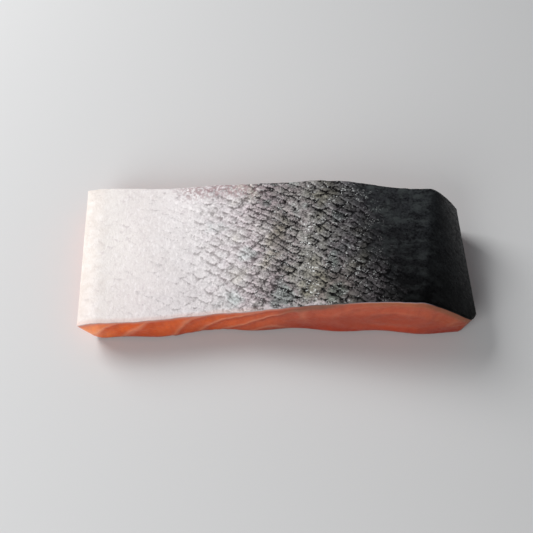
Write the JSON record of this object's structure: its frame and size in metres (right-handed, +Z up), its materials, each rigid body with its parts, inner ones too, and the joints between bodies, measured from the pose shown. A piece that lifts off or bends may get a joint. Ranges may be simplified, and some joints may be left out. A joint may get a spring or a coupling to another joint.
{
  "type": "raw salmon fillet portion",
  "caption": "Skin-on portion of raw salmon fillet, a slab cut across the fish that lies flesh side down with its scaly skin, pale at the belly and dark at the back, on top.",
  "frame": {"origin": "middle of the part's box, on the surface that the flesh side rests on", "axes": "+X across the fish from the pale belly edge to the dark back, +Y along the fish from the tail-side cut to the head-side cut, +Z up from the surface to the skin"},
  "size_m": [0.1604, 0.064, 0.0287],
  "materials": {
    "flesh": "moist raw fish flesh, orange with pale lines of fat between its flakes",
    "skin": "wet fish skin with overlapping scales, silvery white at the belly to near black at the back"
  },
  "bodies": {
    "root": {"fillet": "flesh"}
  },
  "joints": []
}
